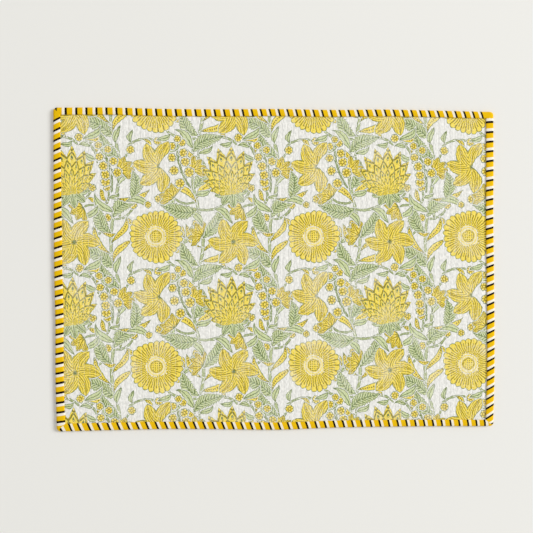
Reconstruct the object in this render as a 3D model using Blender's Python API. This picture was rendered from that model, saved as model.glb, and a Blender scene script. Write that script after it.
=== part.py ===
"""Quilted fabric placemat, lying flat: a channel-quilted cotton panel in a folded binding.

Metres, +Z up. The origin is at the middle of the mat on the surface that it lies on,
X runs along the long sides and Y along the short ones, which the channels follow.
"""
import math

import bmesh
import bpy

# Overall size
LENGTH = 0.480              # along X
DEPTH = 0.350               # along Y
CORNER_RADIUS = 0.004       # the folded corners of the binding, seen from above

# Binding: one strip of doubled cloth folded over all four edges
BINDING_WIDTH = 0.0082      # from the outer edge to the stitched lip, on both faces
BINDING_HEIGHT = 0.0036     # over both layers and the pinched panel between them
TAPE = 0.0010               # thickness of the doubled cloth
CLEAR = 0.0003              # air between the panel and the binding

# Quilted panel
CHANNELS = 78               # padded channels across the length
CHANNEL_PITCH = LENGTH / CHANNELS
CROWN = 0.0030              # height of a channel's crown
SEAM = 0.0022               # height of the stitched line between two channels
CROWN_SHARE = 0.30          # share of the pitch on each side of a seam before the crown
PANEL_INSET = 0.0022        # from the outer edge to the panel's own hidden edge
LIP_INSET = BINDING_WIDTH + 0.0005      # where the panel comes out from under the lip
PADDED_INSET = 0.0125       # where the channels have their full height
FOOT_INSET = 0.0093         # where the underside reaches the table
CORNER_TRIM = 0.0012        # the panel's corners are cut off inside the fold
RIM_TOP = BINDING_HEIGHT - TAPE - CLEAR
RIM_BOTTOM = TAPE + CLEAR

# How far each hand-cut side bulges past the straight edge, in millimetres, at equal
# steps: top and bottom from the -X end to the +X end, left and right from -Y to +Y.
DRIFT_MM = {
    "top":    (0.1, 0.5, -0.6, -0.7, -0.1, -0.7, 0.0, -0.9, -1.9),
    "bottom": (-0.4, -1.1, -1.6, -0.6, 0.8, -0.7, -1.0, -0.8, -0.2),
    "left":   (-0.7, 0.3, 0.1, 1.0, 1.1, 1.0, 0.8),
    "right":  (-0.2, 1.2, 1.2, 0.5, -0.2, 0.0, -0.3),
}

# The binding's section as inset from the outer edge and height, round the folded strip
BINDING_SECTION = (
    (BINDING_WIDTH, BINDING_HEIGHT - 0.0007),
    (BINDING_WIDTH - 0.0003, BINDING_HEIGHT - 0.0001),
    (0.0060, BINDING_HEIGHT),
    (0.0022, BINDING_HEIGHT - 0.0001),
    (0.0007, BINDING_HEIGHT - 0.0006),
    (0.0000, BINDING_HEIGHT / 2),
    (0.0007, 0.0006),
    (0.0022, 0.0000),
    (BINDING_WIDTH - 0.0003, 0.0000),
    (BINDING_WIDTH, 0.0004),
    (BINDING_WIDTH, TAPE),
    (0.0019, TAPE),
    (0.0010, BINDING_HEIGHT / 2),
    (0.0019, BINDING_HEIGHT - TAPE),
    (BINDING_WIDTH, BINDING_HEIGHT - TAPE),
)
LONG_STEPS = 24             # straight steps along a long side of the binding
SHORT_STEPS = 18            # and along a short side
CORNER_STEPS = 4            # and round each corner


def drift(side, share):
    """Outward bulge of one side at a share (0 to 1) of its length, in metres."""
    table = DRIFT_MM[side]
    place = min(max(share, 0.0), 1.0) * (len(table) - 1)
    i = min(int(place), len(table) - 2)
    t = place - i
    p0, p1 = table[max(i - 1, 0)], table[i]
    p2, p3 = table[i + 1], table[min(i + 2, len(table) - 1)]
    bend = (2 * p0 - 5 * p1 + 4 * p2 - p3) * t * t + (3 * p1 - p0 - 3 * p2 + p3) * t ** 3
    return (p1 + 0.5 * ((p2 - p0) * t + bend)) / 1000.0


def make_uneven(bm):
    """Carry every vertex of a true rectangle over to the hand-cut outline."""
    for v in bm.verts:
        u = v.co.x / LENGTH + 0.5
        w = v.co.y / DEPTH + 0.5
        dx = drift("right", w) * u - drift("left", w) * (1 - u)
        dy = drift("top", u) * w - drift("bottom", u) * (1 - w)
        v.co.x += dx
        v.co.y += dy


def cloth(name, colour, roughness):
    material = bpy.data.materials.new(name)
    material.use_nodes = True
    shader = material.node_tree.nodes["Principled BSDF"]
    shader.inputs["Base Color"].default_value = (*colour, 1.0)
    shader.inputs["Roughness"].default_value = roughness
    shader.inputs["Metallic"].default_value = 0.0
    return material


def add_object(bm, name, material, collection, parent):
    bmesh.ops.recalc_face_normals(bm, faces=bm.faces)
    mesh = bpy.data.meshes.new(name)
    bm.to_mesh(mesh)
    bm.free()
    mesh.materials.append(material)
    mesh.shade_smooth()
    mesh.set_sharp_from_angle(angle=math.radians(40))
    obj = bpy.data.objects.new(name, mesh)
    collection.objects.link(obj)
    obj.parent = parent
    return obj


def grid_lines(length, inner):
    """Grid positions along one axis: the three rim lines at each end round the inner ones."""
    half = length / 2
    rim = [half - PANEL_INSET, half - LIP_INSET, half - PADDED_INSET]
    return [-r for r in rim] + inner + rim[::-1]


def panel_top(x, y):
    """Height of the padded face over a point of the true rectangle."""
    inset = min(LENGTH / 2 - abs(x), DEPTH / 2 - abs(y))
    phase = ((x + LENGTH / 2) / CHANNEL_PITCH) % 1.0
    from_seam = min(phase, 1 - phase)
    height = SEAM + (CROWN - SEAM) * min(from_seam / CROWN_SHARE, 1.0)
    padded = min(max((inset - LIP_INSET) / (PADDED_INSET - LIP_INSET), 0.0), 1.0)
    return RIM_TOP + (height - RIM_TOP) * padded


def extrude_boundary(bm, inset, height):
    """Carry the open boundary on to a new loop at an inset and a height."""
    edges = [e for e in bm.edges if e.is_boundary]
    grown = bmesh.ops.extrude_edge_only(bm, edges=edges)["geom"]
    limit_x, limit_y = LENGTH / 2 - inset, DEPTH / 2 - inset
    for v in (g for g in grown if isinstance(g, bmesh.types.BMVert)):
        v.co.x = min(max(v.co.x, -limit_x), limit_x)
        v.co.y = min(max(v.co.y, -limit_y), limit_y)
        v.co.z = height
    bmesh.ops.remove_doubles(bm, verts=bm.verts, dist=1e-5)


def quilted_panel(collection, parent):
    # Seam line and the two shoulders of the crown, for each channel clear of the rim
    marks = []
    for channel in range(CHANNELS):
        for share in (0.0, CROWN_SHARE, 1 - CROWN_SHARE):
            x = (channel + share) * CHANNEL_PITCH - LENGTH / 2
            if abs(x) < LENGTH / 2 - PADDED_INSET - 0.0006:
                marks.append(x)
    xs = grid_lines(LENGTH, marks)
    ys = grid_lines(DEPTH, [-DEPTH / 6, DEPTH / 6])

    bm = bmesh.new()
    bmesh.ops.create_grid(bm, x_segments=len(xs) - 1, y_segments=len(ys) - 1, size=1.0)
    for v in bm.verts:
        x = xs[round((v.co.x + 1) / 2 * (len(xs) - 1))]
        y = ys[round((v.co.y + 1) / 2 * (len(ys) - 1))]
        if x in (xs[0], xs[-1]) and y in (ys[0], ys[-1]):
            x -= math.copysign(CORNER_TRIM, x)
            y -= math.copysign(CORNER_TRIM, y)
        v.co = (x, y, panel_top(x, y))

    extrude_boundary(bm, PANEL_INSET, RIM_BOTTOM)
    extrude_boundary(bm, LIP_INSET, RIM_BOTTOM)
    extrude_boundary(bm, FOOT_INSET, 0.0)
    bmesh.ops.contextual_create(bm, geom=[e for e in bm.edges if e.is_boundary])
    make_uneven(bm)
    return add_object(bm, "quilted_panel", cloth("printed_cotton", (0.84, 0.79, 0.46), 0.9),
                      collection, parent)


def binding_loop(inset):
    """The closed outline at an inset, anticlockwise from the -X end of the bottom side."""
    half_x, half_y = LENGTH / 2 - inset, DEPTH / 2 - inset
    radius = max(CORNER_RADIUS - inset, 0.0003)
    corners = ((1, -1, LONG_STEPS), (1, 1, SHORT_STEPS), (-1, 1, LONG_STEPS), (-1, -1, SHORT_STEPS))
    loop = []
    last = None
    for turn, (sx, sy, steps) in enumerate(corners):
        cx, cy = sx * (half_x - radius), sy * (half_y - radius)
        arc = []
        for k in range(CORNER_STEPS + 1):
            a = math.radians(-90 + 90 * turn + 90 * k / CORNER_STEPS)
            arc.append((cx + radius * math.cos(a), cy + radius * math.sin(a)))
        start = last or (-(half_x - radius), -half_y)
        loop += [(start[0] + (arc[0][0] - start[0]) * k / steps,
                  start[1] + (arc[0][1] - start[1]) * k / steps) for k in range(steps)]
        loop += arc[:-1]
        last = arc[-1]
    return loop


def striped_binding(collection, parent):
    bm = bmesh.new()
    station = bm.verts.layers.int.new("station")
    loops = []
    for inset, height in BINDING_SECTION:
        points = binding_loop(inset)
        if not loops:
            verts = [bm.verts.new((x, y, height)) for x, y in points]
            for i, v in enumerate(verts):
                v[station] = i
            edges = [bm.edges.new((v, verts[i - 1])) for i, v in enumerate(verts)]
        else:
            grown = bmesh.ops.extrude_edge_only(bm, edges=loops[-1])["geom"]
            edges = [g for g in grown if isinstance(g, bmesh.types.BMEdge)]
            for v in (g for g in grown if isinstance(g, bmesh.types.BMVert)):
                v.co = (*points[v[station]], height)
        loops.append(edges)
    bmesh.ops.bridge_loops(bm, edges=loops[0] + loops[-1])
    make_uneven(bm)
    return add_object(bm, "striped_binding", cloth("binding_cloth", (0.87, 0.68, 0.16), 0.85),
                      collection, parent)


for old in list(bpy.data.objects):
    bpy.data.objects.remove(old)

placemat = bpy.data.collections.new("fabric_placemat")
bpy.context.scene.collection.children.link(placemat)
root = bpy.data.objects.new("placemat_origin", None)
placemat.objects.link(root)

quilted_panel(placemat, root)
striped_binding(placemat, root)
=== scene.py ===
import math

import bmesh
import bpy
from mathutils import Matrix, Vector, noise


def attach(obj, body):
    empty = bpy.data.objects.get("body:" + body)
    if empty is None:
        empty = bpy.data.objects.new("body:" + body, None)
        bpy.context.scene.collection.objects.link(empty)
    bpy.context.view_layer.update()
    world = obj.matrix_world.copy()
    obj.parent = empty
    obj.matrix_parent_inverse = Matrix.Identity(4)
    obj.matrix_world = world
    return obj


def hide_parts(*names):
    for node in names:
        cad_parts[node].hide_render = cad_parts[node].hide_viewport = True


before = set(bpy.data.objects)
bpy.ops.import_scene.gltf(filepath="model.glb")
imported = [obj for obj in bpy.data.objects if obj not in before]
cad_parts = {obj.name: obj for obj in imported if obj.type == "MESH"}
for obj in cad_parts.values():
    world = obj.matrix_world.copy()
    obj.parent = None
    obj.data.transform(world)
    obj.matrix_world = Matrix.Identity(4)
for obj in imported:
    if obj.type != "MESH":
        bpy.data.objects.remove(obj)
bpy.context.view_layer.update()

# ---------------------------------------------------------------- quilted panel
# The body of the mat: a printed cotton face and a plain back with thin wadding between
# them, sewn together in straight channels across the mat, so each channel stands up as a
# soft rib with small puckers along its seams. Its rim is pinched flat inside the binding.
LENGTH, DEPTH = 0.480, 0.350
CHANNELS = 78
CHANNEL_PITCH = LENGTH / CHANNELS
COLUMNS = 8                 # mesh columns across one channel
ROW_STEP = 0.0034           # about how far apart the mesh rows are along it
PANEL_INSET = 0.0022        # the panel's own hidden edge, from the mat's outer edge
LIP_INSET = 0.0087          # where the face comes out from under the binding
PADDED_INSET = 0.0125       # where the channels reach their full height
FOOT_INSET = 0.0093         # where the back reaches the table
CORNER_TRIM = 0.0012        # the panel's corners are cut off inside the fold
RIM_TOP, RIM_BOTTOM = 0.0023, 0.0013    # heights of the pinched rim's two faces
FACE_ABOVE = 0.0018         # what lies higher belongs to the printed side
CROWN, SEAM = 0.00280, 0.00260          # heights of a channel's crown and of its seams
PUCKER = 0.00005            # depth of the puckers
WANDER = 0.00045            # how far the hand-guided seams stray sideways

# How far each hand-cut side bulges past the straight edge, in millimetres, at equal
# steps: top and bottom from the -X end to the +X end, left and right from -Y to +Y.
DRIFT_MM = {
    "top":    (0.1, 0.5, -0.6, -0.7, -0.1, -0.7, 0.0, -0.9, -1.9),
    "bottom": (-0.4, -1.1, -1.6, -0.6, 0.8, -0.7, -1.0, -0.8, -0.2),
    "left":   (-0.7, 0.3, 0.1, 1.0, 1.1, 1.0, 0.8),
    "right":  (-0.2, 1.2, 1.2, 0.5, -0.2, 0.0, -0.3),
}

# How much wider than its usual 8.2 mm the binding is, in millimetres, in the same order
LIP_MM = {
    "top":    (-0.2, -0.2, -0.3, -0.6, -0.7),
    "bottom": (0.3, 0.0, 0.0, -0.5, -1.0),
    "left":   (1.3, 0.9, 0.9, 0.2, -0.7),
    "right":  (0.8, 0.6, 0.5, 0.5, 0.5),
}


def drift(table, share):
    """A table's value at a share (0 to 1) of its side's length, in metres."""
    place = min(max(share, 0.0), 1.0) * (len(table) - 1)
    i = min(int(place), len(table) - 2)
    t = place - i
    p0, p1 = table[max(i - 1, 0)], table[i]
    p2, p3 = table[i + 1], table[min(i + 2, len(table) - 1)]
    bend = (2 * p0 - 5 * p1 + 4 * p2 - p3) * t * t + (3 * p1 - p0 - 3 * p2 + p3) * t ** 3
    return (p1 + 0.5 * ((p2 - p0) * t + bend)) / 1000.0


def smooth(value):
    """An S-shaped ramp from 0 to 1."""
    value = min(max(value, 0.0), 1.0)
    return value * value * (3 - 2 * value)


def rim_pull(inset):
    """How fully a place follows the binding's lip: 0 at the outer edge, 1 at the lip."""
    return min(inset / LIP_INSET, 1.0) * smooth((3 * LIP_INSET - inset) / (2 * LIP_INSET))


def uneven(x, y):
    """A point of the true rectangle on the hand-cut mat."""
    u, w = x / LENGTH + 0.5, y / DEPTH + 0.5
    lip_x = drift(LIP_MM["right" if x > 0 else "left"], w) * rim_pull(LENGTH / 2 - abs(x))
    lip_y = drift(LIP_MM["top" if y > 0 else "bottom"], u) * rim_pull(DEPTH / 2 - abs(y))
    right, left = drift(DRIFT_MM["right"], w), drift(DRIFT_MM["left"], w)
    top, bottom = drift(DRIFT_MM["top"], u), drift(DRIFT_MM["bottom"], u)
    return (x + right * u - left * (1 - u) - lip_x * math.copysign(1, x),
            y + top * w - bottom * (1 - w) - lip_y * math.copysign(1, y))


def edge_distance(x, y):
    """How far a point of the true rectangle is from the nearest outer edge."""
    return min(LENGTH / 2 - abs(x), DEPTH / 2 - abs(y))


def face_height(x, y):
    """Height of the padded face over a point of the true rectangle."""
    place = (x + LENGTH / 2) / CHANNEL_PITCH
    channel, share = math.floor(place), place % 1.0
    puff = math.sin(math.pi * share) ** 0.45
    # puckers of about 6.5 mm in each channel, and smaller ones that cross the seams
    pucker = noise.noise(Vector((channel * 5.3, y / 0.0065, 0.0)))
    pucker += 0.6 * noise.noise(Vector((x / 0.003, y / 0.0035, 7.0)))
    # wadding that is a little thicker in some places than in others
    padding = 1 + 0.12 * noise.noise(Vector((x / 0.06, y / 0.05, 3.0)))
    height = SEAM + (CROWN - SEAM) * puff * padding
    height += PUCKER * pucker * (0.35 + 0.65 * puff)
    padded = smooth((edge_distance(x, y) - LIP_INSET) / (PADDED_INSET - LIP_INSET))
    return RIM_TOP + (height - RIM_TOP) * padded


def astray(x, y):
    """How far the seams stray sideways at this place: not at all under the binding."""
    stray = noise.noise(Vector((x / 0.035, y / 0.045, 11.0)))
    return WANDER * stray * smooth((edge_distance(x, y) - LIP_INSET) / 0.01)


def grid_lines(length, inner):
    """Grid positions along one axis: closer lines at the rim round the inner ones."""
    rim = [length / 2 - r for r in (PANEL_INSET, 0.006, LIP_INSET - 0.0003, 0.0095, 0.011)]
    return [-r for r in rim] + inner + rim[::-1]


def extrude_boundary(bm, inset, height):
    """Carry the open boundary on to a new loop at an inset and a height."""
    edges = [e for e in bm.edges if e.is_boundary]
    grown = bmesh.ops.extrude_edge_only(bm, edges=edges)["geom"]
    limit_x, limit_y = LENGTH / 2 - inset, DEPTH / 2 - inset
    for v in (g for g in grown if isinstance(g, bmesh.types.BMVert)):
        v.co.x = min(max(v.co.x, -limit_x), limit_x)
        v.co.y = min(max(v.co.y, -limit_y), limit_y)
        v.co.z = height
    bmesh.ops.remove_doubles(bm, verts=bm.verts, dist=1e-5)


def piece(name, bm, *materials):
    """Finish a mesh as an object of the mat that lies where its vertices are."""
    mesh = bpy.data.meshes.new(name)
    bm.to_mesh(mesh)
    bm.free()
    for material in materials:
        mesh.materials.append(material)
    obj = bpy.data.objects.new(name, mesh)
    bpy.context.scene.collection.objects.link(obj)
    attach(obj, "root")
    return obj


printed_cotton = bpy.data.materials.new("printed_cotton_face")
back_cotton = bpy.data.materials.new("plain_cotton_back")

first, last = -LENGTH / 2 + PADDED_INSET, LENGTH / 2 - PADDED_INSET
marks = [k * CHANNEL_PITCH / COLUMNS - LENGTH / 2 for k in range(CHANNELS * COLUMNS)]
xs = grid_lines(LENGTH, [x for x in marks if first < x < last])
row_count = round((DEPTH - 2 * PADDED_INSET) / ROW_STEP)
row_step = (DEPTH - 2 * PADDED_INSET) / row_count
ys = grid_lines(DEPTH, [PADDED_INSET - DEPTH / 2 + k * row_step for k in range(row_count + 1)])

bm = bmesh.new()
bmesh.ops.create_grid(bm, x_segments=len(xs) - 1, y_segments=len(ys) - 1, size=1.0)
for v in bm.verts:
    x = xs[round((v.co.x + 1) / 2 * (len(xs) - 1))]
    y = ys[round((v.co.y + 1) / 2 * (len(ys) - 1))]
    if x in (xs[0], xs[-1]) and y in (ys[0], ys[-1]):
        x -= math.copysign(CORNER_TRIM, x)
        y -= math.copysign(CORNER_TRIM, y)
    v.co = (x, y, face_height(x, y))
extrude_boundary(bm, PANEL_INSET, RIM_BOTTOM)
extrude_boundary(bm, LIP_INSET, RIM_BOTTOM)
extrude_boundary(bm, FOOT_INSET, 0.0)
bmesh.ops.contextual_create(bm, geom=[e for e in bm.edges if e.is_boundary])
bmesh.ops.recalc_face_normals(bm, faces=bm.faces)

# Two maps: the flat cloth in millimetres, before its cut edges and seams strayed, and the
# bake's own, with the printed face in the lower three quarters and the back above it
FACE_SHARE = 0.735          # share of the bake's map that the face takes
RIM_SPREAD = 1.006          # the rim's outward faces lie just outside the back there
cloth_map = bm.loops.layers.uv.new("cloth")
bake_map = bm.loops.layers.uv.new("OFBake")
for f in bm.faces:
    back = f.normal.z < 0.3
    f.material_index = 1 if back else 0
    f.smooth = len(f.verts) < 5
    for loop in f.loops:
        p = loop.vert.co
        out = RIM_SPREAD if back and p.z > FACE_ABOVE else 1.0
        u, w = 0.5 + p.x * out / LENGTH, 0.5 + p.y * out / DEPTH
        if back:
            w = FACE_SHARE + 0.01 + (0.985 - FACE_SHARE) * w
        else:
            w *= FACE_SHARE
        loop[bake_map].uv = (u, w)
        loop[cloth_map].uv = (p.x * 1000, p.y * 1000)

for v in bm.verts:
    x, y = v.co.x, v.co.y
    if v.co.z > FACE_ABOVE:
        x += astray(x, y)
    v.co.x, v.co.y = uneven(x, y)

panel = piece("quilted_panel_cloth", bm, printed_cotton, back_cotton)
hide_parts("quilted_panel")

# ---------------------------------------------------------------- printed face
# White cotton printed by hand from carved blocks: yellow and sage green fills, ochre lines
# in the blooms and a dark green outline round everything. Blooms, leaves, pods and sprays
# on curling stems repeat every 172 by 141 mm. The ink is thin and lets the weave show.
REPEAT_X, REPEAT_Y = 171.6, 141.3       # millimetres, as are all sizes of the print
LINE = 0.72                             # width of a carved outline
GAP = 0.75                              # bare cloth that is left round each motif
GREEN, YELLOW = 1, 3                    # inks of a fill; its darker lines are the next number


class Value:
    """A number on the cloth: arithmetic on it adds Math nodes to its shader."""

    def __init__(self, socket):
        self.socket = socket

    def node(self, kind, settings, sockets, out=0):
        """Add any other node: its settings first, then the values or links of its sockets."""
        tree = self.socket.id_data
        node = tree.nodes.new(kind)
        for key, setting in settings.items():
            setattr(node, key, setting)
        for key, value in sockets.items():
            if isinstance(value, Value):
                tree.links.new(value.socket, node.inputs[key])
            else:
                node.inputs[key].default_value = value
        return Value(node.outputs[out])

    def maths(self, operation, *others):
        """A Math node on this value and the others."""
        return self.node("ShaderNodeMath", {"operation": operation},
                         dict(enumerate((self, *others))))

    def __add__(self, other):
        return self.maths("ADD", other)

    def __mul__(self, other):
        return self.maths("MULTIPLY", other)

    def __sub__(self, other):
        return self.maths("SUBTRACT", other)

    def __truediv__(self, other):
        return self.maths("DIVIDE", other)

    def __rsub__(self, other):
        return self.node("ShaderNodeMath", {"operation": "SUBTRACT"}, {0: other, 1: self})

    def __gt__(self, other):
        return self.maths("GREATER_THAN", other)

    def __lt__(self, other):
        return self.maths("LESS_THAN", other)

    def __abs__(self):
        return self.maths("ABSOLUTE")

    __radd__, __rmul__ = __add__, __mul__


def clamped(value):
    """The value kept between 0 and 1."""
    return value.node("ShaderNodeClamp", {}, {0: value})


def vector(place, operation, other):
    """One step of vector arithmetic on a place."""
    key = "Scale" if operation == "SCALE" else 1
    return place.node("ShaderNodeVectorMath", {"operation": operation}, {0: place, key: other})


def parts(place):
    """The first two numbers of a place."""
    first = place.node("ShaderNodeSeparateXYZ", {}, {0: place})
    return first, Value(first.socket.node.outputs[1])


def grain(place, scale, detail, out=0):
    """Noise around 0.5, with about one lump to each 1/scale of a metre."""
    return place.node("ShaderNodeTexNoise", {"noise_dimensions": "3D"},
                      {"Vector": place, "Scale": scale, "Detail": detail}, out)


def mixed(factor, first, second, blend="MIX"):
    """The first colour where the factor is 0 and the second where it is 1."""
    first, second = (c if isinstance(c, Value) else (*c, 1.0) for c in (first, second))
    return factor.node("ShaderNodeMix", {"data_type": "RGBA", "blend_type": blend},
                       {"Factor": factor, 6: first, 7: second}, out=2)


def surface(material):
    """A new material's node tree and shader, and the place on the mat, in metres."""
    material.use_nodes = True
    tree = material.node_tree
    place = Value(tree.nodes.new("ShaderNodeTexCoord").outputs["Object"])
    return tree, tree.nodes["Principled BSDF"], place


def at(x, y, across, up, turn):
    """The place in a motif's own frame, from the nearest repeat of it."""
    dx = (x - across).maths("WRAP", REPEAT_X / 2, -REPEAT_X / 2)
    dy = (y - up).maths("WRAP", REPEAT_Y / 2, -REPEAT_Y / 2)
    c, s = turn.maths("COSINE"), turn.maths("SINE")
    return dx * c + dy * s, dy * c - dx * s


def print_over(ink, depth, code):
    """Lay an outlined motif, with bare cloth round it, over the ink that is there already."""
    code = (depth < LINE).maths("MULTIPLY_ADD", GREEN + 1 - code, code)
    return (depth > -GAP).maths("MULTIPLY_ADD", (depth > 0) * code - ink, ink)


def motif(name, draw, *sizes):
    """A node group for one kind of motif, with its place and sizes as inputs."""
    group = bpy.data.node_groups.new(name, "ShaderNodeTree")
    for label in ("x", "y", "ink", "across", "up", "turn", *sizes):
        group.interface.new_socket(name=label, in_out="INPUT", socket_type="NodeSocketFloat")
    group.interface.new_socket(name="ink", in_out="OUTPUT", socket_type="NodeSocketFloat")
    # the last output of that node is only an empty place for one more input
    given = [Value(s) for s in group.nodes.new("NodeGroupInput").outputs][:-1]
    x, y, ink, across, up, turn = given[:6]
    u, v = at(x, y, across, up, turn)
    result = group.nodes.new("NodeGroupOutput")
    group.links.new(draw(u, v, ink, *given[6:]).socket, result.inputs[0])
    return group


def spine(u, v, length, bend, sway):
    """Share along a curved motif, its arch (0 at both ends) and the distance to one side."""
    t = u / length
    arch = t * (1 - t) * 4
    return t, arch, v - arch * (bend + sway * (1 - t * 2))


def draw_stem(u, v, ink, length, width, bend, sway):
    """A stem that thins out at both ends, with a dark line along it."""
    t, arch, side = spine(u + length * 0.5, v, length, bend, sway)
    side = abs(side)
    depth = width * (arch * 6).maths("MINIMUM", 1) - side
    return print_over(ink, depth, GREEN + (side < 0.25))


def draw_leaf(u, v, ink, length, width, bend, sway, notches):
    """A leaf with a midrib, and with a toothed edge and side veins if it has notches."""
    t, arch, side = spine(u, v, length, bend, sway)
    across = abs(side)
    teeth = t * notches
    plump = (1.45 - t * 0.6).maths("MAXIMUM", 0.1)
    depth = width * arch * plump * (1 - teeth.maths("FRACT") * 0.22) - across
    veins = (teeth - across * 0.3).maths("FRACT") < 0.4
    veins = veins * notches.maths("MINIMUM", 1) * (depth > LINE * 1.8)
    lines = (across < 0.45).maths("MAXIMUM", veins)
    return print_over(ink, depth, GREEN + lines)


def draw_pod(u, v, ink, length, width, bend, sway, seeds):
    """A long pod with a row of seeds."""
    t, arch, side = spine(u, v, length, bend, sway)
    plump = (t * 0.5 + 0.75).maths("MAXIMUM", 0.1)
    depth = width * arch * plump - abs(side)
    beads = (abs(side) < 0.9) * ((t * seeds).maths("FRACT") > 0.4)
    return print_over(ink, depth, YELLOW + beads)


def draw_round_bloom(u, v, ink, radius, petals):
    """Rayed petals round a ring of dots and a grainy core."""
    away = (u * u + v * v).maths("SQRT")
    r = away / radius
    angle = v.maths("ARCTAN2", u)
    around = angle * petals / math.tau
    middle = around.maths("PINGPONG", 0.5) * 2
    notch = 1 - middle
    lobes = (angle * 5).maths("COSINE") * 0.03 + (angle * 3).maths("SINE") * 0.02
    depth = (0.98 + lobes - notch * notch * 0.065 - r) * radius
    ring_edge = 0.38 + middle * 0.06 - lobes
    rays = ((middle < 0.2) * (r > 0.44)).maths("MAXIMUM", (middle > 0.82) * (r < 0.8))
    petal = YELLOW + rays
    beads = (around * 2).maths("PINGPONG", 0.5) * (r * 11).maths("PINGPONG", 0.5)
    ring = (beads > 0.03) * YELLOW
    stipple = (u * 0.42).maths("PINGPONG", 0.5) * (v * 0.42).maths("PINGPONG", 0.5)
    core = YELLOW + (stipple > 0.1)
    core_edge = 0.19 + middle * 0.03
    rim = (abs(r - ring_edge) < 0.012).maths("MAXIMUM", abs(r - core_edge) < 0.014)
    inner = ring + (r < core_edge) * (core - ring)
    code = inner + (r > ring_edge) * (petal - inner)
    code = code + rim * (YELLOW + 1 - code)
    return print_over(ink, depth, code)


def draw_pointed_bloom(u, v, ink, radius, points):
    """A fan of overlapping scales that opens upwards from its foot."""
    away = (u * u + v * v).maths("SQRT")
    lean = u.maths("ARCTAN2", v)
    reach = (lean * 0.86).maths("COSINE") * radius * 1.9
    fan = lean * points / math.pi
    depth = reach * (0.78 + fan.maths("PINGPONG", 0.5) * 0.5) - away
    row = away / reach * 5.6
    scale = (fan + row.maths("FLOOR") * 0.5).maths("PINGPONG", 0.5) * 2
    step = (row - scale * 0.85).maths("FRACT")
    ticks = (scale > 0.8) * (step < 0.75) * (step > 0.4)
    code = YELLOW + (step < 0.3)
    green = (step < 0.1).maths("MAXIMUM", ticks * (row > 2))
    return print_over(ink, depth, code + green * (GREEN + 1 - code))


def draw_whorl(u, v, ink, radius, width, petals, curl, spread, hue):
    """Curling hatched petals round a point, as far as a spread in radians to either side."""
    r = (u * u + v * v).maths("SQRT")
    t = r / radius
    lean = v.maths("ARCTAN2", u) + t * curl
    cell = (lean * petals).maths("WRAP", math.pi, -math.pi) / petals
    side = abs(cell) * r
    depth = width * (t * (1 - t) * 4) * (0.55 + t * 0.8) - side
    depth = depth.maths("MINIMUM", (spread - abs(lean)) * r)
    hatch = ((side * 0.40 + t * 0.8).maths("FRACT") < 0.36) * ((t * 7 + side).maths("FRACT") > 0.2)
    lines = (side < 0.5) * (t > 0.15)
    return print_over(ink, depth, hue + lines.maths("MAXIMUM", hatch * (t < 0.86)))


def draw_floret(u, v, ink, radius, petals, stalk):
    """A small flower with a dotted eye at the end of a thin stalk."""
    stem = (0.5 - abs(v)).maths("MINIMUM", u).maths("MINIMUM", stalk - u)
    ink = (stem > 0).maths("MULTIPLY_ADD", GREEN + 1 - ink, ink)
    u = u - stalk
    r = (u * u + v * v).maths("SQRT") / radius
    around = (v.maths("ARCTAN2", u) * petals / math.tau).maths("PINGPONG", 0.5) * 2
    depth = (0.84 + around * 0.16 - r) * radius
    lines = (abs(r - 0.3) < 0.09).maths("MAXIMUM", (around < 0.3) * (r > 0.3))
    return print_over(ink, depth, (r < 0.74) * (YELLOW + lines))


MOTIFS = {
    "stem": motif("stem", draw_stem, "length", "width", "bend", "sway"),
    "leaf": motif("leaf", draw_leaf, "length", "width", "bend", "sway", "notches"),
    "pod": motif("pod", draw_pod, "length", "width", "bend", "sway", "seeds"),
    "whorl": motif("whorl", draw_whorl, "radius", "width", "petals", "curl", "spread", "hue"),
    "floret": motif("floret", draw_floret, "radius", "petals", "stalk"),
    "round": motif("round_bloom", draw_round_bloom, "radius", "petals"),
    "pointed": motif("pointed_bloom", draw_pointed_bloom, "radius", "points"),
}

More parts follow.
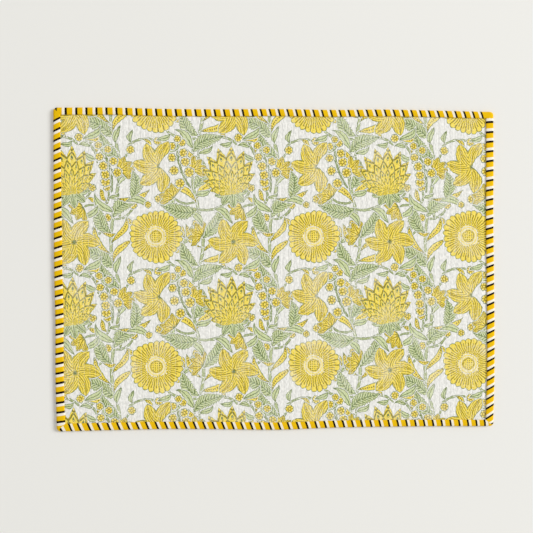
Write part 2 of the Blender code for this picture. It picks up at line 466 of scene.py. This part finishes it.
# Each vine has its middle's place, turn in degrees, length, width, bend and sway, and then
# what grows on it: the share along it, the lean from it in degrees, the kind and the sizes.
FAN = ("whorl", 17, 4.0, 11, 0, 1.42, YELLOW)
VINES = (
    # sprigs in the open places
    ((93, 130, 62, 26, 1.35, 5, 0), (
        (0.15, 62, "pod", 18, 2.8, 3, 2, 8),
        (0.25, -50, "leaf", 18, 2.6, -3, 2, 0),
        (0.45, -22, "pod", 17, 2.7, -2, 2, 7),
        (0.60, 52, "leaf", 14, 2.3, -2, 2, 0),
        (1.00, 0, "floret", 5.0, 6, 4),
    )),
    ((142, 128, 122, 30, 1.35, -4, 0), (
        (0.20, 56, "leaf", 17, 2.6, 3, 2, 0),
        (0.30, -58, "pod", 17, 2.8, 3, 2, 8),
        (0.65, 48, "leaf", 14, 2.2, -2, 2, 0),
        (0.70, -48, "leaf", 14, 2.3, -2, 2, 0),
        (1.00, 0, "floret", 5.2, 7, 5),
    )),
    ((5, 61, 30, 24, 1.35, -4, 0), (
        (0.30, 56, "leaf", 15, 2.4, 3, 2, 0),
        (0.50, -52, "pod", 15, 2.6, -3, 2, 7),
        (1.00, 10, "floret", 4.6, 6, 3),
    )),
    ((58, 71, 164, 26, 1.35, 4, 0), (
        (0.20, 50, "pod", 18, 2.8, 3, 2, 8),
        (0.45, -55, "leaf", 18, 2.6, -3, 2, 0),
        (1.00, 0, "floret", 5.2, 7, 3),
    )),
    ((157, 77, 70, 20, 1.35, -4, 0), (
        (0.40, 58, "pod", 16, 2.7, 2, 2, 7),
        (0.60, -50, "leaf", 13, 2.2, -2, 2, 0),
        (1.00, 0, "floret", 4.6, 6, 3),
    )),
    ((76, 32, 72, 34, 1.35, 5, 0), (
        (0.12, 56, "pod", 18, 2.8, 3, 2, 8),
        (0.30, -58, "leaf", 16, 2.5, 3, 2, 0),
        (0.52, 52, "pod", 16, 2.7, -2, 2, 7),
        (0.70, -50, "leaf", 13, 2.2, -2, 2, 0),
        (1.00, 0, "floret", 4.8, 6, 3),
    )),
    ((150, 44, 46, 26, 1.35, -4, 0), (
        (0.30, 52, "leaf", 15, 2.4, 3, 2, 0),
        (0.50, -52, "pod", 16, 2.7, -2, 2, 7),
        (1.00, 0, "floret", 5.0, 7, 3),
    )),
    ((24, 137, 14, 30, 1.35, 4, 0), (
        (0.20, 54, "leaf", 15, 2.4, 3, 2, 0),
        (0.55, -54, "pod", 16, 2.6, 3, 2, 7),
        (1.00, 0, "floret", 5.0, 7, 4),
    )),
    ((8, 112, 80, 30, 1.35, 4, 0), (
        (0.15, 48, "leaf", 15, 2.4, 3, 2, 0),
        (0.30, -52, "pod", 17, 2.8, -3, 2, 8),
        (0.60, 54, "pod", 15, 2.6, 3, 2, 7),
        (1.00, 0, "floret", 5.2, 7, 4),
    )),
    ((134, 79, 40, 22, 1.35, -3, 0), (
        (0.40, 56, "leaf", 13, 2.3, 2, 2, 0),
        (0.60, -50, "pod", 13, 2.5, -2, 2, 6),
        (1.00, 0, "floret", 4.8, 6, 3),
    )),
    ((116, 139, 164, 26, 1.35, -4, 0), (
        (0.25, 50, "leaf", 15, 2.4, 3, 2, 0),
        (0.50, -54, "pod", 16, 2.7, 2, 2, 7),
        (1.00, 0, "floret", 4.8, 6, 3),
    )),
    # the two that climb through the whole repeat
    ((85, 70.6, 90, 141.3, 1.8, 0, -16), (
        (0.03, 58, "leaf", 34, 6.5, 5, 3, 10),
        (0.06, -48, "pod", 30, 3.8, -4, 3, 13),
        (0.13, -62, "pod", 34, 3.4, 6, 0, 14),
        (0.17, 40, "pod", 32, 3.4, 5, 3, 14),
        (0.24, -28, "leaf", 40, 7, -6, 3, 12),
        (0.26, 60, *FAN),
        (0.33, 30, "leaf", 26, 3.2, -3, -3, 0),
        (0.47, 72, "leaf", 42, 7.5, 5, 4, 13),
        (0.50, 44, "pod", 36, 3.6, -6, 0, 14),
        (0.53, -58, "pod", 32, 3.8, 4, 3, 13),
        (0.57, -78, "leaf", 19, 2.9, -2, 2, 0),
        (0.62, -26, "leaf", 34, 6.5, -5, 0, 11),
        (0.76, -44, *FAN),
        (0.93, 62, "leaf", 30, 3.6, -4, 3, 0),
        (0.90, -50, "leaf", 38, 7, 5, 3, 12),
    )),
    ((168, 70.6, 90, 141.3, 1.8, 0, 12), (
        (0.02, 52, "leaf", 40, 7.5, -6, 3, 12),
        (0.05, -50, "pod", 32, 3.8, 4, 3, 13),
        (0.12, 24, "pod", 36, 3.6, 6, 0, 14),
        (0.20, -30, "pod", 34, 3.4, -4, 4, 14),
        (0.28, 30, "leaf", 38, 6.5, 5, 3, 12),
        (0.40, -44, "leaf", 36, 7, 5, 3, 12),
        (0.44, 52, "leaf", 30, 3.6, 5, -3, 0),
        (0.55, -66, "pod", 38, 3.6, -6, 0, 14),
        (0.64, -30, "leaf", 20, 2.9, 2, 2, 0),
        (0.66, -28, "leaf", 30, 3.4, 4, 3, 0),
        (0.76, -52, *FAN),
        (0.90, 62, "pod", 40, 3.6, -6, 2, 15),
        (0.86, 30, "leaf", 34, 6.5, 5, 0, 11),
        (0.97, -28, "leaf", 20, 2.9, 2, 2, 0),
    )),
    # branches that carry the blooms
    ((103, 72, 18, 40, 1.5, -6, 0), (
        (0.45, -52, "leaf", 26, 3.4, 4, 3, 0),
    )),
    ((150, 20, 150, 36, 1.5, 4, 0), (
        (0.35, 60, "leaf", 24, 3.2, 3, 3, 0),
    )),
    ((12, 84, 40, 52, 1.5, -6, 0), (
        (0.30, -40, "leaf", 30, 3.4, 5, 3, 0),
        (0.45, 50, "leaf", 30, 6.5, -5, 0, 10),
    )),
    ((66, 8, 160, 40, 1.5, 6, 0), (
        (0.40, 46, "leaf", 30, 3.4, 4, 3, 0),
        (0.72, 62, "leaf", 17, 2.7, 2, 2, 0),
    )),
    ((150, 65, 168, 32, 1.35, -5, 0), (
        (0.55, 50, "leaf", 22, 3.0, 3, 2, 0),
        (1.00, 8, *FAN),
    )),
    ((72, 76, 172, 24, 1.35, 4, 0), (
        (1.00, -4, *FAN),
    )),
    # sprays of florets
    ((71, 114, 106, 54, 1.2, 5, 0), (
        (0.10, 50, "floret", 6.0, 7, 9),
        (0.20, -55, "floret", 6.2, 7, 9),
        (0.36, 55, "floret", 5.8, 7, 9),
        (0.44, -52, "floret", 5.8, 7, 9),
        (0.60, 52, "floret", 5.2, 6, 8),
        (0.66, -55, "floret", 5.4, 6, 8),
        (0.82, 50, "floret", 4.8, 6, 7),
        (0.88, -48, "floret", 4.8, 6, 7),
        (1.00, 0, "floret", 4.4, 6, 2),
    )),
    ((158, 108, 104, 52, 1.2, -5, 0), (
        (0.12, 52, "floret", 6.0, 7, 9),
        (0.30, 54, "floret", 5.8, 7, 8),
        (0.32, -55, "floret", 5.6, 7, 8),
        (0.50, 52, "floret", 5.6, 7, 8),
        (0.56, -55, "floret", 5.2, 6, 7),
        (0.72, 50, "floret", 5.0, 6, 8),
        (0.80, -52, "floret", 4.8, 6, 7),
        (1.00, 0, "floret", 4.6, 6, 2),
    )),
)
# The blooms: kind, place, turn and sizes
BLOOMS = (
    ("whorl", 44, 112, 200, 29, 8.2, 7, 0.5, 2.24, YELLOW),
    ("whorl", 124, 30, 90, 28, 8.5, 6, 0.6, 9, YELLOW),
    ("whorl", 122, 86, 278, 19, 5, 9, 0, 1.74, GREEN),
    ("round", 40, 36, 0, 29.5, 26),
    ("pointed", 122, 82, 8, 27, 11),
    ("floret", 30, 70.5, 0, 4.2, 6, 2),
)


def on_vine(vine, share, lean):
    """Place and direction of what grows from a vine at a share of its length."""
    across, up, turn, length, width, bend, sway = vine
    arch = 4 * share * (1 - share)
    u, v = (share - 0.5) * length, arch * (bend + sway * (1 - 2 * share))
    slope = (4 - 8 * share) * (bend + sway * (1 - 2 * share)) - 2 * arch * sway
    c, s = math.cos(math.radians(turn)), math.sin(math.radians(turn))
    return (across + u * c - v * s, up + u * s + v * c,
            turn + lean + math.degrees(math.atan2(slope, length)))


# Everything that is printed, in the order in which it covers what lies under it
LAYOUT = [("stem", *vine) for vine, growths in VINES]
for vine, growths in VINES:
    LAYOUT += [(kind, *on_vine(vine, share, lean), *sizes) for share, lean, kind, *sizes in growths]
LAYOUT += BLOOMS

# The ink's number at every place: 0 is bare cloth. The place wanders by a fraction of a
# millimetre, as lines do that are carved by hand.
WOBBLE = 0.0022
tree, shader, place = surface(printed_cotton)
wobble = vector(grain(place, 260.0, 3.0, out=1), "SUBTRACT", (0.5, 0.5, 0.5))
wandering = vector(vector(wobble, "SCALE", WOBBLE), "ADD", place)
x, y = parts(vector(wandering, "SCALE", 1000.0))
ink = 0.0
for kind, across, up, turn, *sizes in LAYOUT:
    ink = x.node("ShaderNodeGroup", {"node_tree": MOTIFS[kind]},
                 dict(enumerate((x, y, ink, across, up, math.radians(turn), *sizes))))

# The colours of cloth and ink, with the ink thin and uneven as it comes off the block
CLOTH_DULL, CLOTH_BRIGHT = (0.745, 0.74, 0.70), (0.975, 0.96, 0.91)
INKS = ((GREEN, (0.64, 0.71, 0.39)), (GREEN + 1, (0.17, 0.235, 0.08)),
        (YELLOW, (0.95, 0.76, 0.115)), (YELLOW + 1, (0.33, 0.25, 0.01)))
POOLED_TINT = (0.72, 0.64, 0.34)        # where wet ink gathered and dried darker
slubs = grain(vector(place, "MULTIPLY", (1.0, 0.4, 1.0)), 700.0, 3.0)
slubs = clamped((slubs - 0.5) * 3.2 + 0.5)
coverage, patches = grain(place, 900.0, 2.0), grain(place, 32.0, 3.0)
thin = clamped((coverage - 0.5) * 2.8 + (patches - 0.5) * 3.0 + 0.12)
pools = clamped((grain(place, 480.0, 2.0) - 0.53) * 7)
colour = mixed(slubs, CLOTH_DULL, CLOTH_BRIGHT)
for number, tint in INKS:
    colour = mixed((abs(ink - number) < 0.5) * (1 - thin * 0.48), colour, tint)
colour = mixed(pools * (ink > 0.5) * 0.5, colour, POOLED_TINT, "MULTIPLY")

# Fine creases that run out from the seams, and a plain weave. The sizes here are in
# millimetres on the flat cloth.
WEAVE_REPEAT = 0.45         # one thread over and one under
PITCH_MM = CHANNEL_PITCH * 1000
SEAMS_FROM = LENGTH * 500   # the seams are counted from the mat's left edge


def on_map(tree, name):
    """The place on one of the mesh's own maps, as two values."""
    uv = tree.nodes.new("ShaderNodeUVMap")
    uv.uv_map = name
    return parts(Value(uv.outputs[0]))


def crumple(across, up):
    """Noise around 0.5 with lumps about one unit wide."""
    spot = across.node("ShaderNodeCombineXYZ", {}, {0: across, 1: up})
    return spot.node("ShaderNodeTexNoise", {"noise_dimensions": "2D"},
                     {"Vector": spot, "Scale": 1.0, "Detail": 2.0})


def creased(across, up):
    """Height of the creases: crumpled all over, and drawn in along every seam."""
    near = clamped(1.15 - (across + SEAMS_FROM).maths("PINGPONG", PITCH_MM / 2) / 2.2)
    ripple = crumple(across * 0.28, up * 0.75)
    lumps = crumple(across * 0.44, up * 0.34)
    return near * near * ripple - near * near * near * 0.52 + lumps * 1.2


def weave(across, up, repeat):
    """Height of a plain weave, whose threads cross like the squares of a chessboard."""
    return (across * (math.tau / repeat)).maths("SINE") * (up * (math.tau / repeat)).maths("SINE")


def bumped(height, strength, distance, over=None):
    """The shading normal of a surface with this height, over another one's."""
    sockets = {"Height": height, "Strength": strength, "Distance": distance}
    if over:
        sockets["Normal"] = over
    return height.node("ShaderNodeBump", {}, sockets)


across, up = on_map(tree, "cloth")
normal = bumped(creased(across, up), 0.8, 0.0004)
normal = bumped(weave(across, up, WEAVE_REPEAT), 0.25, 0.00012, over=normal)
tree.links.new(colour.socket, shader.inputs["Base Color"])
tree.links.new(normal.socket, shader.inputs["Normal"])
shader.inputs["Roughness"].default_value = 0.92
shader.inputs["Specular IOR Level"].default_value = 0.25
shader.inputs["Sheen Weight"].default_value = 0.08

# The back is the same cotton without print
tree, shader, place = surface(back_cotton)
colour = mixed(grain(place, 400.0, 3.0), (0.76, 0.75, 0.67), (0.84, 0.83, 0.75))
across, up = on_map(tree, "cloth")
ribs = abs(((across + SEAMS_FROM) * (math.pi / PITCH_MM)).maths("SINE")).maths("POWER", 0.5)
normal = bumped(ribs + creased(across, up) * 0.5, 0.6, 0.0007)
normal = bumped(weave(across, up, WEAVE_REPEAT), 0.25, 0.00012, over=normal)
tree.links.new(colour.socket, shader.inputs["Base Color"])
tree.links.new(normal.socket, shader.inputs["Normal"])
shader.inputs["Roughness"].default_value = 0.92

# ---------------------------------------------------------------- quilting stitches
# The white thread that quilts the mat: one straight line of machine stitches between every
# two channels, from binding to binding, each stitch pulled down into the cloth at its ends.
STITCH, STITCH_PITCH = 0.0026, 0.0031
THREAD_WIDTH, THREAD_HEIGHT = 0.00034, 0.00026
STITCH_STRAY = 0.00016      # how far a stitch may lie beside its seam
STITCH_LIFT = 0.00002       # how far its middle lies above the seam
RIM_CHANNELS = 2            # channels at each end whose seams the binding hides

# One stitch, then its copies along a seam, then that seam's copies across the mat
bm = bmesh.new()
bmesh.ops.create_uvsphere(bm, u_segments=4, v_segments=3, radius=0.5)
bmesh.ops.transform(bm, matrix=Matrix.Rotation(math.radians(90), 4, "X"), verts=bm.verts)
bmesh.ops.scale(bm, vec=(THREAD_WIDTH, STITCH, THREAD_HEIGHT), verts=bm.verts)
seam_length = DEPTH - 2 * LIP_INSET - STITCH
count = math.floor(seam_length / STITCH_PITCH)
start = (CHANNEL_PITCH * RIM_CHANNELS - LENGTH / 2, -count * STITCH_PITCH / 2, 0.0)
bmesh.ops.translate(bm, vec=start, verts=bm.verts)
bmesh.ops.spin(bm, geom=bm.verts[:] + bm.edges[:] + bm.faces[:], dvec=(0.0, STITCH_PITCH, 0.0),
               angle=0.0, axis=(0.0, 0.0, 1.0), steps=count, use_duplicate=True)
bmesh.ops.spin(bm, geom=bm.verts[:] + bm.edges[:] + bm.faces[:], dvec=(CHANNEL_PITCH, 0.0, 0.0),
               angle=0.0, axis=(0.0, 0.0, 1.0), steps=CHANNELS - 2 * RIM_CHANNELS,
               use_duplicate=True)
for f in bm.faces:
    f.smooth = True

# Each one is then laid on the face, in its seam and not quite straight
for v in bm.verts:
    x, y, lift = v.co
    seam = round((x + LENGTH / 2) / CHANNEL_PITCH) * CHANNEL_PITCH - LENGTH / 2
    x += STITCH_STRAY * noise.noise(Vector((seam * 900, y / STITCH_PITCH, 5.0)))
    v.co.z = face_height(seam, y) + STITCH_LIFT + lift
    v.co.x, v.co.y = uneven(x + astray(seam, y), y)

thread = bpy.data.materials.new("quilting_thread")
stitches = piece("quilting_stitches", bm, thread)

tree, shader, place = surface(thread)
colour = mixed(grain(place, 1500.0, 1.0), (0.70, 0.69, 0.60), (0.86, 0.85, 0.77))
tree.links.new(colour.socket, shader.inputs["Base Color"])
shader.inputs["Roughness"].default_value = 0.7

# ---------------------------------------------------------------- striped binding
# A strip of doubled cotton, striped across in yellow, white and black, folded over the
# panel's edge on both faces and sewn down. Its corners are folded to a mitre, and the
# stripes lean a little, more in some places than in others, where the strip was pulled.
BINDING_WIDTH, BINDING_HEIGHT, TAPE = 0.0082, 0.0036, 0.0010
CORNER_RADIUS = 0.004
PUFF = 0.0002               # how far the strip's top rises between the edge and the lip
UNEVEN_PUFF = 0.00018       # and how much that changes along the strip
LONG_STEPS, SHORT_STEPS, CORNER_STEPS = 260, 190, 6

# Clockwise from each side's first corner: the distance to the first black stripe, the
# pitch at the side's start and end in millimetres, the lean in degrees at its start,
# middle and end, towards the next corner at the inner lip, and the lowest and highest
# count, where the fold of a corner hides the stripes beyond.
STRIPES = {
    "top":    {"first": 13.2, "pitch": (10.75, 9.45), "lean": (0, 15, 16), "ends": (-2, 45.4)},
    "right":  {"first": 13.7, "pitch": (10.7, 10.15), "lean": (4, 22, 33), "ends": (-0.5, 99)},
    "bottom": {"first": 10.3, "pitch": (9.70, 10.55), "lean": (8, 20, 24), "ends": (-2, 99)},
    "left":   {"first": 11.0, "pitch": (10.45, 10.55), "lean": (8, 18, 25), "ends": (-2, 31.4)},
}
# How far the strip was pulled back as it was sewn on, in millimetres, at equal steps along
# each side in the same order
PULLED_MM = {
    "top":    (-0.9, -1.1, -1.7, -2.4, -0.8, 2.5, 2.2, 1.7, 0.3),
    "right":  (1.5, 1.9, 1.6, 1.4, 1.4, 1.3, 1.2, 0.6, 0.2),
    "bottom": (1.3, 1.2, 1.5, 0.9, 1.0, 0.7, 0.5, 0.9, 0.3),
    "left":   (0.9, 0.5, 0.0, 0.2, 0.9, 1.1, 1.4, 1.2, 0.5),
}
BLACK, GOLD = 0.22, 0.51    # shares of one stripe repeat; the rest is white
BINDING_REPEAT = 0.0004     # of the strip's own plain weave, in metres


def section():
    """The binding's section as inset and height, from the top lip round to the bottom one."""
    points = [(BINDING_WIDTH, 0.0027), (BINDING_WIDTH, 0.0032), (0.0079, BINDING_HEIGHT)]
    points += [(0.0068, BINDING_HEIGHT + 0.75 * PUFF), (0.0055, BINDING_HEIGHT + PUFF),
               (0.0040, BINDING_HEIGHT + 0.75 * PUFF)]
    half = BINDING_HEIGHT / 2
    for k in range(9):
        a = math.radians(90 + 22.5 * k)
        points.append((0.0024 + 0.0024 * math.cos(a), half + half * math.sin(a)))
    points += [(0.0050, 0.0), (BINDING_WIDTH - 0.0003, 0.0), (BINDING_WIDTH, 0.0004)]
    points += [(BINDING_WIDTH, TAPE), (0.0022, TAPE), (0.0012, half), (0.0022, BINDING_HEIGHT - TAPE)]
    return points


def binding_loop(inset):
    """The closed outline at an inset, anticlockwise from the -X end of the bottom side."""
    half_x, half_y = LENGTH / 2 - inset, DEPTH / 2 - inset
    radius = max(CORNER_RADIUS - inset, 0.0002)
    corners = ((1, -1, LONG_STEPS), (1, 1, SHORT_STEPS), (-1, 1, LONG_STEPS), (-1, -1, SHORT_STEPS))
    loop = []
    last = None
    for turn, (sx, sy, steps) in enumerate(corners):
        cx, cy = sx * (half_x - radius), sy * (half_y - radius)
        arc = []
        for k in range(CORNER_STEPS + 1):
            a = math.radians(-90 + 90 * turn + 90 * k / CORNER_STEPS)
            arc.append((cx + radius * math.cos(a), cy + radius * math.sin(a)))
        start = last or (-(half_x - radius), -half_y)
        loop += [(start[0] + (arc[0][0] - start[0]) * k / steps,
                  start[1] + (arc[0][1] - start[1]) * k / steps) for k in range(steps)]
        loop += arc[:-1]
        last = arc[-1]
    return loop


def along(side, x, y):
    """Distance in millimetres from a side's first corner, going clockwise."""
    return {"top": x + LENGTH / 2, "bottom": LENGTH / 2 - x,
            "right": DEPTH / 2 - y, "left": y + DEPTH / 2}[side] * 1000


def stripe_count(side, run, inset):
    """How many stripe repeats lie between the first black stripe and this place."""
    facts = STRIPES[side]
    total = (LENGTH if side in ("top", "bottom") else DEPTH) * 1000
    start, end = facts["pitch"]
    low, mid, high = facts["lean"]
    share = min(max(run / total, 0.0), 1.0)
    lean = low + (mid - low) * share * 2 if share < 0.5 else mid + (high - mid) * (share * 2 - 1)
    run += drift(PULLED_MM[side], share) * 1000
    run -= (inset * 1000 - 2) * math.tan(math.radians(lean))
    growth = (end - start) / total
    pitch = start + growth * run
    pitch_first = start + growth * facts["first"]
    lowest, highest = facts["ends"]
    return min(max(math.log(pitch / pitch_first) / growth, lowest), highest)


def side_of(x, y):
    """The side that a place belongs to, parted along the mitres."""
    if DEPTH / 2 - abs(y) < LENGTH / 2 - abs(x):
        return "top" if y > 0 else "bottom"
    return "right" if x > 0 else "left"


binding_cloth = bpy.data.materials.new("striped_binding_cloth")
bm = bmesh.new()
station = bm.verts.layers.int.new("station")
inset_layer = bm.verts.layers.float.new("inset")
loops = []
for inset, height in section():
    points = binding_loop(inset)
    if not loops:
        moved = [bm.verts.new((px, py, height)) for px, py in points]
        for i, v in enumerate(moved):
            v[station] = i
        edges = [bm.edges.new((v, moved[i - 1])) for i, v in enumerate(moved)]
    else:
        grown = bmesh.ops.extrude_edge_only(bm, edges=loops[-1])["geom"]
        edges = [g for g in grown if isinstance(g, bmesh.types.BMEdge)]
        moved = [g for g in grown if isinstance(g, bmesh.types.BMVert)]
    for v in moved:
        v.co = (*points[v[station]], height)
        v[inset_layer] = inset
    loops.append(edges)
bmesh.ops.bridge_loops(bm, edges=loops[0] + loops[-1])
bmesh.ops.recalc_face_normals(bm, faces=bm.faces)

stripe_map = bm.loops.layers.uv.new("stripes")
for f in bm.faces:
    f.smooth = True
    middle = f.calc_center_median()
    side = side_of(middle.x, middle.y)
    for loop in f.loops:
        p = loop.vert.co
        inset = loop.vert[inset_layer]
        loop[stripe_map].uv = (stripe_count(side, along(side, p.x, p.y), inset),
                               inset / BINDING_WIDTH)

for v in bm.verts:
    if v.co.z > TAPE + 0.0001:
        v.co.z += UNEVEN_PUFF * noise.noise(Vector((v.co.x / 0.009, v.co.y / 0.009, 0.0)))
    v.co.x, v.co.y = uneven(v.co.x, v.co.y)

binding = piece("striped_binding_strip", bm, binding_cloth)
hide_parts("striped_binding")

tree, shader, place = surface(binding_cloth)
GOLD_DEEP, GOLD_BRIGHT = (0.82, 0.475, 0.001), (0.88, 0.56, 0.004)
WHITE_YARN, BLACK_YARN = (0.91, 0.85, 0.72), (0.011, 0.006, 0.002)
count = on_map(tree, "stripes")[0] + (grain(place, 900.0, 2.0) - 0.5) * 0.05
stripe = (count + BLACK / 2).maths("FRACT")
gold = mixed(grain(place, 220.0, 3.0), GOLD_DEEP, GOLD_BRIGHT)
colour = mixed(stripe < BLACK + GOLD, WHITE_YARN, gold)
colour = mixed(stripe < BLACK, colour, BLACK_YARN)
normal = bumped(weave(*parts(place), BINDING_REPEAT), 0.3, 0.00012)
tree.links.new(colour.socket, shader.inputs["Base Color"])
tree.links.new(normal.socket, shader.inputs["Normal"])
shader.inputs["Roughness"].default_value = 0.85
shader.inputs["Specular IOR Level"].default_value = 0.1

# ---------------------------------------------------------------- floor, light, camera
# The mat lies on a pale, matt surface under wide soft light that comes mostly from the
# right, so that its left edge has a shadow and its lower edge a narrow one. The camera
# looks down from 0.8 m and is turned by about two and a half degrees.
FLOOR_SIZE = 12.0
FLOOR_HEIGHT = -0.0001      # just clear of the back
LIGHT_AT, LIGHT_SIZE, LIGHT_POWER = (7.5, 2.2, 4.6), 3.4, 668.0
LENS, SENSOR = 50.0, 36.0   # millimetres
CAMERA_AT = (-0.0464, 0.01255, 0.8099)
YAW, PITCH, ROLL = (math.radians(a) for a in (2.471, 0.665, 0.169))

bm = bmesh.new()
bmesh.ops.create_grid(bm, x_segments=1, y_segments=1, size=FLOOR_SIZE / 2)
mesh = bpy.data.meshes.new("floor")
bm.to_mesh(mesh)
bm.free()
floor = bpy.data.objects.new("floor", mesh)
floor.location.z = FLOOR_HEIGHT
bpy.context.scene.collection.objects.link(floor)
pale = bpy.data.materials.new("pale_floor")
pale.use_nodes = True
shader = pale.node_tree.nodes["Principled BSDF"]
shader.inputs["Base Color"].default_value = (0.838, 0.831, 0.793, 1.0)
shader.inputs["Roughness"].default_value = 0.9
mesh.materials.append(pale)

lamp = bpy.data.lights.new("soft_light", "AREA")
lamp.shape = "SQUARE"
lamp.size = LIGHT_SIZE
lamp.energy = LIGHT_POWER
light = bpy.data.objects.new("soft_light", lamp)
light.location = LIGHT_AT
light.rotation_euler = (-Vector(LIGHT_AT)).to_track_quat("-Z", "Y").to_euler()
bpy.context.scene.collection.objects.link(light)

world = bpy.data.worlds.new("studio")
world.use_nodes = True
world.node_tree.nodes["Background"].inputs["Color"].default_value = (1.0, 0.995, 0.985, 1)
world.node_tree.nodes["Background"].inputs["Strength"].default_value = 0.592
bpy.context.scene.world = world
bpy.context.scene.view_settings.view_transform = "Standard"

lens = bpy.data.cameras.new("camera")
lens.lens = LENS
lens.sensor_width = SENSOR
camera = bpy.data.objects.new("camera", lens)
turn = Matrix.Rotation(ROLL, 3, "Z") @ Matrix.Rotation(PITCH, 3, "X") @ Matrix.Rotation(YAW, 3, "Y")
camera.rotation_euler = turn.transposed().to_euler()
camera.location = CAMERA_AT
bpy.context.scene.collection.objects.link(camera)
bpy.context.scene.camera = camera
